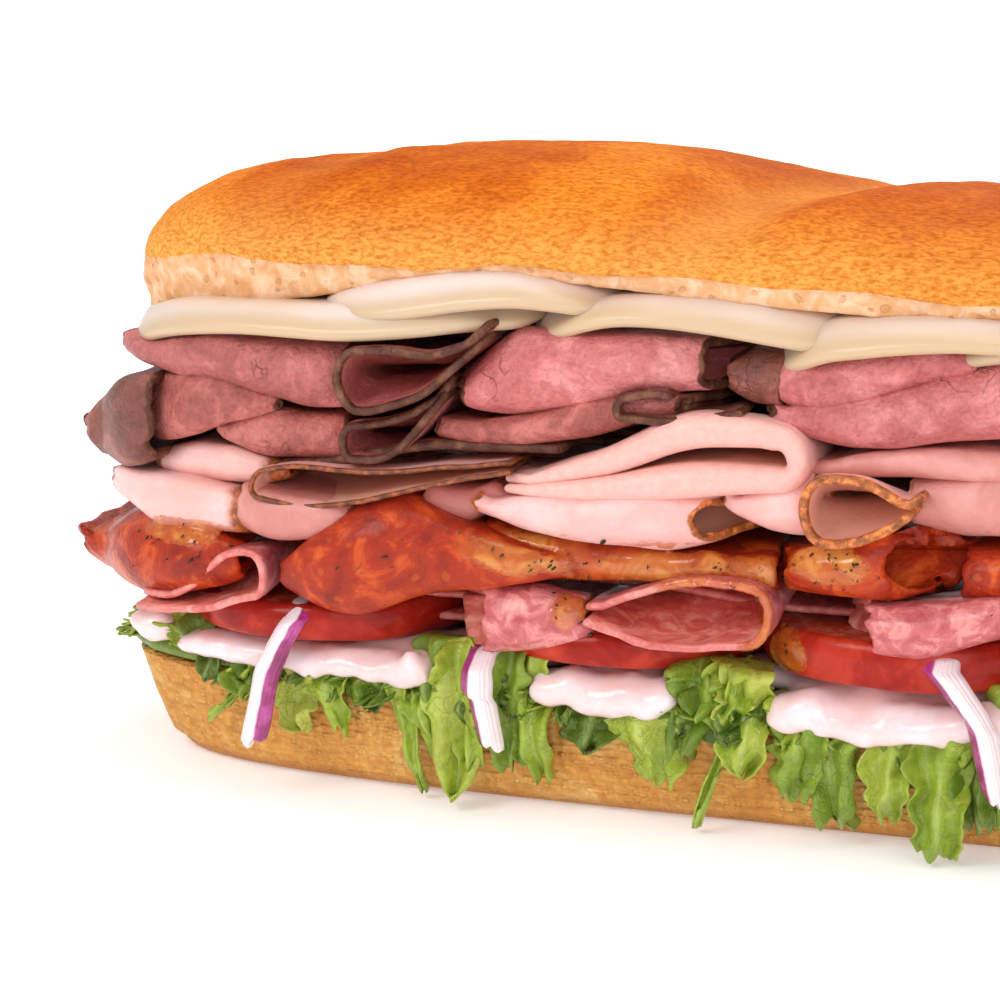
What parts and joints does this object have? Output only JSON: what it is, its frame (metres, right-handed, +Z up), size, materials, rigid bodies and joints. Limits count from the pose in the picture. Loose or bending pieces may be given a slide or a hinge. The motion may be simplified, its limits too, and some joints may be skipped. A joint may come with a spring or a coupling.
{
  "type": "submarine sandwich",
  "caption": "A whole submarine sandwich: a crusty roll cut in two and filled with lettuce, mayonnaise, tomato, red onion, folded cold meats and cheese.",
  "frame": {"origin": "the middle of the flat underside of the roll's lower half, on which the sandwich rests", "axes": "+X runs along the roll, which is the longest extent; -Y is the front, where the folds of the slices show; +Z is up; metres"},
  "size_m": [0.2926, 0.0944, 0.1213],
  "materials": {
    "crust": "baked golden brown crust of the upper half, with a soft pale crumb at its cut",
    "heel_crust": "pale brown underside crust with the close weave of its baking mat",
    "lettuce": "fresh shredded green leaf",
    "mayo": "glossy thick white sauce",
    "tomato": "wet red tomato",
    "onion": "white onion with a purple skin edge",
    "salami": "pink cured sausage marbled with white fat",
    "pepperoni": "oily orange red sausage",
    "turkey": "moist pale pink breast meat with a browned edge",
    "beef": "pink roast meat with a dark roasted edge",
    "cheese": "smooth creamy white cheese"
  },
  "bodies": {
    "root": {"beef_1": "beef", "beef_10": "beef", "beef_11": "beef", "beef_12": "beef", "beef_2": "beef", "beef_3": "beef", "beef_4": "beef", "beef_5": "beef", "beef_6": "beef", "beef_7": "beef", "beef_8": "beef", "beef_9": "beef", "cheese_1": "cheese", "cheese_2": "cheese", "cheese_3": "cheese", "cheese_4": "cheese", "cheese_5": "cheese", "cheese_6": "cheese", "cheese_7": "cheese", "lettuce": "lettuce", "mayonnaise": "mayo", "onion_1": "onion", "onion_2": "onion", "onion_3": "onion", "onion_4": "onion", "pepperoni_1": "pepperoni", "pepperoni_2": "pepperoni", "pepperoni_3": "pepperoni", "pepperoni_4": "pepperoni", "pepperoni_5": "pepperoni", "pepperoni_6": "pepperoni", "roll_bottom": "heel_crust", "roll_top": "crust", "salami_1": "salami", "salami_2": "salami", "salami_3": "salami", "salami_4": "salami", "salami_5": "salami", "salami_6": "salami", "tomato_back_1": "tomato", "tomato_back_2": "tomato", "tomato_back_3": "tomato", "tomato_front_1": "tomato", "tomato_front_2": "tomato", "tomato_front_3": "tomato", "tomato_front_4": "tomato", "turkey_1": "turkey", "turkey_10": "turkey", "turkey_11": "turkey", "turkey_12": "turkey", "turkey_13": "turkey", "turkey_2": "turkey", "turkey_3": "turkey", "turkey_4": "turkey", "turkey_5": "turkey", "turkey_6": "turkey", "turkey_7": "turkey", "turkey_8": "turkey", "turkey_9": "turkey"}
  },
  "joints": []
}
